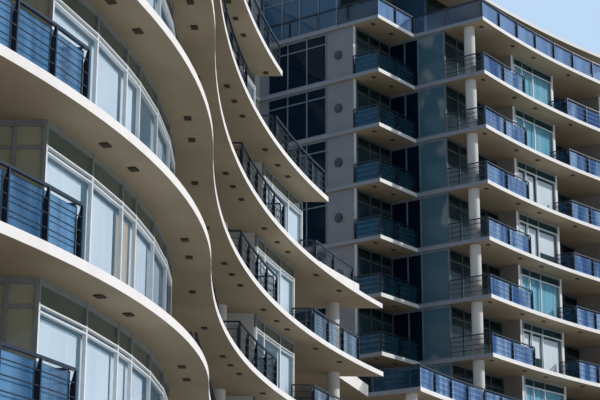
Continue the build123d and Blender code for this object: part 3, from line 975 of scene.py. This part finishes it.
@dataclass
class BalconyRailings:
    """All the railings of the building, as detailed stand-ins for the plain packed ones."""

    style: Railings = field(default_factory=Railings)
    bold: Railings = field(default_factory=lambda: Railings(rod_radius=0.0017))
    screen: Railings = field(default_factory=lambda: Railings(post_width=0.003, rods=(), glass_high=0.103))
    near_pitch: float = 0.128
    recess_pitch: float = 0.153
    far_pitch: float = 0.187
    inset: float = 0.012
    slabs: Slabs = field(default_factory=Slabs)
    wing: WingWindows = field(default_factory=WingWindows)
    block: BlockWindows = field(default_factory=BlockWindows)
    past_party_wall: float = 0.006
    past_rail: float = 0.009
    off_glass: float = 0.008
    off_wall: float = 0.0035
    to_bay: float = 0.045
    past_bay: float = 0.010
    to_end: float = 0.040
    mid: float = 2.833
    recess_y: float = 0.032
    terrace_end: float = 4.490
    upstand: float = 0.022
    shortest: float = 0.150
    stops: Triple = (0.460, 0.905, 1.480)
    step_corner: Pair = (-0.348, 0.430)
    podium_low: float = -0.090
    top_v: float = 1.210

    def on_edge(self, start: float, end: float, setback: float, pitch: float,
                edge: Callable = PLAN.wave) -> list[Vector]:
        """Post points along a curved edge."""
        return [edge(x, setback) for x in steps(start, end, max(1, round((end - start) / pitch)))]

    def straight(self, start: Vector, end: Vector, pitch: float) -> list[Vector]:
        """Post points along a straight railing."""
        return spread(start, end, max(1, round((end - start).length / pitch)))

    def build(self) -> None:
        """Builds the railings of the wing, the podium, the block's balconies and its roof terrace."""
        steel, glass, clear, pale = Maker(), Maker(), Maker(), Maker()
        for level in range(1, PLAN.wing_storeys):
            self.wing_level(steel, glass, clear, pale, level)
        steel.piece("wing_rails", Finish.RAIL, "railing_steel",
                    ["wing_railings", "balcony_end_railings", "terrace_railings"])
        glass.piece("near_rail_panels", Finish.NEAR_RAIL_GLASS, "railing_glass", ["wing_rail_glass"])
        clear.piece("clear_rail_panels", Finish.CLEAR_RAIL_GLASS, "railing_glass", ["terrace_rail_glass"])
        pale.piece("terrace_rail_panels", Finish.PALE_RAIL_GLASS, "railing_glass")
        steel, glass, teal, side, haze = Maker(), Maker(), Maker(), Maker(), Maker()
        self.block_runs(steel, glass, teal, side, haze)
        steel.piece("block_rails", Finish.RAIL, "railing_steel",
                    ["podium_railings", "step_railings", "corner_railings", "side_railings",
                     "roof_terrace_railings"])
        glass.piece("block_rail_panels", Finish.RAIL_GLASS, "railing_glass", ["block_rail_glass"])
        teal.piece("step_rail_panels", Finish.TEAL_RAIL_GLASS, "railing_glass")
        side.piece("corner_rail_panels", Finish.CLEAR_RAIL_GLASS, "railing_glass")
        haze.piece("top_rail_panels", Finish.HAZE_RAIL_GLASS, "railing_glass")

    def wing_level(self, steel: Maker, glass: Maker, clear: Maker, pale: Maker, level: int) -> None:
        """Adds the railings of one storey of the wing."""
        end = self.wing.ends.get(level, self.wing.full_end)
        bay_rail = end - self.wing.bay_two_length - self.to_bay
        first, last = self.wing.bay_one[0] - self.to_bay, self.wing.bay_one[-1] + self.past_bay
        split = bay_rail - self.mid > self.shortest
        near = self.on_edge(self.wing.wall + self.past_party_wall, first, self.inset, self.near_pitch)
        runs = [self.on_edge(self.mid if split else last, bay_rail, self.inset, self.recess_pitch)]
        if split:
            turn = PLAN.point(self.mid, self.recess_y)
            runs += [self.straight(PLAN.point(last, self.recess_y), turn, self.recess_pitch),
                     [turn, PLAN.wave(self.mid, self.inset)]]
        tip = self.slabs.tips.get(level)
        setback = self.inset + (self.upstand if level == min(self.wing.ends) else 0)
        far = tip - self.inset if tip else self.terrace_end
        terrace = self.on_edge(end - self.to_end, far, setback, self.far_pitch)
        inner = self.recess_y - PLAN.edge_y(last) if split else self.inset
        reach = self.wing.bay_setback - self.off_glass
        for station, start, flip in ((first, self.inset, False), (last, inner, True),
                                     (bay_rail, self.inset, False), (end - self.to_end, setback, True)):
            line = [PLAN.wave(station, start + self.past_rail), PLAN.wave(station, reach)]
            runs.append(line[::-1] if flip else line)
        self.style.run(steel, glass, near, [level])
        self.style.run(steel, pale if level <= PLAN.podium_storeys else clear, terrace, [level])
        for run in runs:
            self.style.run(steel, clear, run, [level])

    def block_runs(self, steel: Maker, glass: Maker, teal: Maker, side: Maker, haze: Maker) -> None:
        """Adds the railings of the block."""
        inset, wall = self.inset, self.off_wall
        podium_u, podium_v = PLAN.podium_corner
        podium_u += inset
        step_u, step_v = (place + inset for place in self.step_corner)
        podium = range(1, PLAN.podium_storeys + 1)
        balconies = range(PLAN.podium_storeys + 1, PLAN.block_storeys - 1)
        top = [PLAN.block_storeys - 1]
        lines = [([(podium_u, podium_v - inset), (podium_u, inset + self.podium_low)], glass, podium),
                 ([(step_u, self.block.step - wall), (step_u, step_v), (self.block.edge - wall, step_v)],
                  teal, balconies),
                 ([(inset, self.block.deep - wall), (inset, inset)], side, balconies),
                 ([(step_u, self.top_v), (step_u, step_v), (inset, step_v), (inset, inset)], haze, top)]
        for line, panels, levels in lines:
            style = self.screen if levels is top else self.bold
            corners = [PLAN.block(*corner) for corner in line]
            for start, end in zip(corners, corners[1:]):
                style.run(steel, panels, self.straight(start, end, self.far_pitch), levels)
        first, second, third = self.stops
        fronts = [(podium_u, first, podium), (inset, first, balconies),
                  (second, third, [*podium, *balconies]), (inset, PLAN.block_length - inset, top)]
        for start, end, levels in fronts:
            style, panels = (self.screen, haze) if levels is top else (self.bold, glass)
            style.run(steel, panels, self.on_edge(start, end, inset, self.far_pitch, PLAN.front), levels)
        reach = self.block.bay_setback - self.off_glass
        for stop, inwards in ((first, True), (second, False), (third, True)):
            line = [PLAN.front(stop, inset + self.past_rail), PLAN.front(stop, reach)]
            self.bold.run(steel, glass, line if inwards else line[::-1], [*podium, *balconies])


@dataclass
class Columns:
    """Round columns, smoother stand-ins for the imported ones."""

    radius: float = 0.029
    sides: int = 32
    wing: Pair = (3.375, 0.194)
    terrace: Pair = (4.640, 0.166)
    terrace_storeys: int = 6
    corner: Pair = (0.060, 0.120)
    podium: Pair = (-0.770, -0.420)
    podium_setback: float = 0.075

    def build(self) -> None:
        """Builds the columns of every storey."""
        columns = Maker()
        places = [(PLAN.wave(*self.wing), PLAN.wing_storeys - 1),
                  (PLAN.wave(*self.terrace), self.terrace_storeys),
                  (PLAN.block(*self.corner), PLAN.block_storeys - 1)]
        places += [(PLAN.front(u, self.podium_setback), PLAN.podium_storeys) for u in self.podium]
        for point, storeys in places:
            for level in range(storeys):
                low = PLAN.floor(level)
                columns.rod(point + UP * low, point + UP * (low + PLAN.clear), self.radius, self.sides)
        columns.piece("round_columns", Finish.COLUMN, "column_concrete",
                      ["wing_columns", "terrace_columns", "corner_columns", "podium_columns"], smooth=True)


@dataclass
class Upstands:
    """White upstands: one that rises along the edge of the sixth floor, and those beside the podium."""

    level: int = 6
    start: float = 3.990
    end: float = 4.470
    low: float = 0.003
    high: float = 0.026
    width: float = 0.022
    spans: int = 8
    podium_height: float = 0.035
    podium_join: Pair = (4.725, -0.386)

    def rise(self, x: float) -> float:
        """How high the rising upstand is at a station."""
        return self.low + (self.high - self.low) * (x - self.start) / (self.end - self.start)

    def build(self) -> None:
        """Builds the upstands."""
        white = Maker()
        floor = PLAN.floor(self.level)
        stations = steps(self.start, self.end, self.spans)
        for near, far in zip(stations, stations[1:]):
            start, end = PLAN.wave(near), PLAN.wave(far)
            first, last = self.rise(near), self.rise(far)
            for corner in white.bar(start, end, floor, floor + self.high, 0, self.width):
                if corner.co.z > floor + self.high / 2:
                    share = (corner.co - start).dot(end - start) / (end - start).length_squared
                    corner.co.z = floor + first + (last - first) * share
        join, corner = PLAN.point(*self.podium_join), PLAN.block(*PLAN.podium_corner)
        for level in range(1, PLAN.podium_storeys + 1):
            floor = PLAN.floor(level)
            white.bar(join, corner, floor, floor + self.podium_height, 0, self.width)
        white.piece("white_upstands", Finish.SLAB, "floor_slab", ["edge_upstands"])


@dataclass
class BackWalls:
    """The plain walls at the ends and the back, with the bars of their wide windows."""

    width: float = 1.500
    height: float = 0.140
    sill: float = 0.080
    panes: int = 7
    bar: float = 0.008
    near: float = 0.005
    far: float = 0.018
    proud: float = 0.001
    wing_left: Pair = (5.688, 1.365)
    wing_windows: Pair = (1.050, 3.150)
    block_left: Pair = (1.740, 1.985)
    block_window: float = 1.300
    link_window: float = 0.800

    def build(self) -> None:
        """Dresses the walls and adds the bars of their windows."""
        dress(["party_wall", "link_wall", "wing_back_wall", "block_back_wall", "block_end_walls",
               "hidden_step_wall", "bay_two_fin"], Finish.BACK_RENDER)
        bars = Maker()
        wing = WingWindows()
        for level in range(PLAN.block_storeys):
            floor = PLAN.floor(level)
            self.add_window(bars, PLAN.block(*self.block_left), -PLAN.u_way, self.block_window, floor)
            if level >= PLAN.wing_storeys:
                continue
            for place in self.wing_windows:
                self.add_window(bars, PLAN.point(*self.wing_left), -ALONG, place, floor)
            end = wing.ends.get(level, wing.full_end)
            self.add_window(bars, PLAN.point(end, wing.link), ALONG, self.link_window, floor)
        bars.piece("back_window_bars", Finish.GREY_FRAME, "window_glass")

    def add_window(self, bars: Maker, left: Vector, way: Vector, place: float, floor: float) -> None:
        """Adds the frame and the upright bars of one wide window.

        Args:
            bars: The mesh that gathers them.
            left: The left end of the wall's outer face, as seen from outside.
            way: The way along the wall, to the right.
            place: How far along the wall the window's middle lies.
            floor: The height of the storey's floor.
        """
        start = left + way * (place - self.width / 2)
        end = start + way * self.width
        low, high = floor + self.sill, floor + self.sill + self.height
        edge = way * (self.bar / 2)
        for point in spread(start + edge, end - edge, self.panes):
            bars.upright(point, way, self.bar, low, high, self.near, self.far)
        for under in (low, high - self.bar):
            bars.bar(start, end, under, under + self.bar, self.near - self.proud, self.far)


@dataclass
class Studio:
    """The camera, the lights, the sky and the floor."""

    focal: float = 1677.0
    width: float = 600.0
    sensor: float = 36.0
    back: float = 2.400
    side: float = 1.600
    eye: float = 0.176
    pitch: float = 0.2885
    roll: float = 0.0026
    clip: float = 200.0
    energy: float = 2.45
    sun_width: float = radians(2.0)
    sun_colour: Colour = (1.0, 0.96, 0.92)
    sun_way: Triple = (0.05, -0.90, 0.42)
    sky: Colour = (0.52, 0.70, 0.92)
    sky_light: float = 0.38
    sky_shown: float = 1.0
    floor_half: float = 60.0

    def camera(self) -> None:
        """Sets the camera where the photo was taken from."""
        data = bpy.data.cameras.new("view")
        data.sensor_width = self.sensor
        data.lens = self.focal * self.sensor / self.width
        data.clip_end = self.clip
        ahead = Vector((cos(self.pitch), 0, sin(self.pitch)))
        right, above = Vector((0, -1, 0)), Vector((-sin(self.pitch), 0, cos(self.pitch)))
        turned_right = right * cos(self.roll) + above * sin(self.roll)
        turned_up = above * cos(self.roll) - right * sin(self.roll)
        rows = [[turned_right[i], turned_up[i], -ahead[i]] for i in range(3)]
        low, high = CAD_BOX
        place = Vector((low[0] - self.back, high[1] - self.side, self.eye))
        camera = add_object("view", data)
        camera.matrix_world = Matrix.Translation(place) @ Matrix(rows).to_4x4()
        bpy.context.scene.camera = camera

    def light(self) -> None:
        """Adds a soft key light on the front, and a pale sky that shows brighter than it lights."""
        data = bpy.data.lights.new("key", "SUN")
        data.energy = self.energy
        data.angle = self.sun_width
        data.color = self.sun_colour
        key = add_object("key", data)
        key.rotation_euler = Vector(self.sun_way).to_track_quat("Z", "Y").to_euler()
        world = bpy.data.worlds.new("sky")
        world.use_nodes = True
        bpy.context.scene.world = world
        nodes, links = world.node_tree.nodes, world.node_tree.links
        background = next(n for n in nodes if n.type == "BACKGROUND")
        background.inputs["Color"].default_value = (*self.sky, 1)
        path = nodes.new("ShaderNodeLightPath")
        seen = path.outputs["Is Camera Ray"]
        for ray in ("Is Glossy Ray", "Is Transmission Ray"):
            either = nodes.new("ShaderNodeMath")
            either.operation = "MAXIMUM"
            links.new(seen, either.inputs[0])
            links.new(path.outputs[ray], either.inputs[1])
            seen = either.outputs[0]
        strength = nodes.new("ShaderNodeMapRange")
        strength.inputs["To Min"].default_value = self.sky_light
        strength.inputs["To Max"].default_value = self.sky_shown
        links.new(seen, strength.inputs["Value"])
        links.new(strength.outputs[0], background.inputs["Strength"])

    def floor(self) -> None:
        """Adds the pale floor."""
        mesh = bmesh.new()
        bmesh.ops.create_grid(mesh, x_segments=1, y_segments=1, size=self.floor_half)
        data = bpy.data.meshes.new("floor")
        mesh.to_mesh(data)
        mesh.free()
        floor = add_object("floor", data)
        data.materials.append(Finish.FLOOR.material())

    def build(self) -> None:
        """Builds the studio."""
        self.camera()
        self.light()
        self.floor()
        bpy.context.scene.view_settings.view_transform = "Standard"


def main() -> None:
    """Builds everything in order."""
    logging.basicConfig(level=logging.INFO, format="%(name)s: %(message)s")
    Studio().build()
    for kind in (Slabs, Upstands, WingWindows, BlockWindows, BalconyRailings, Columns, BackWalls):
        kind().build()
        LOG.info("%s done", kind.__name__)


if __name__ == "__main__":
    main()
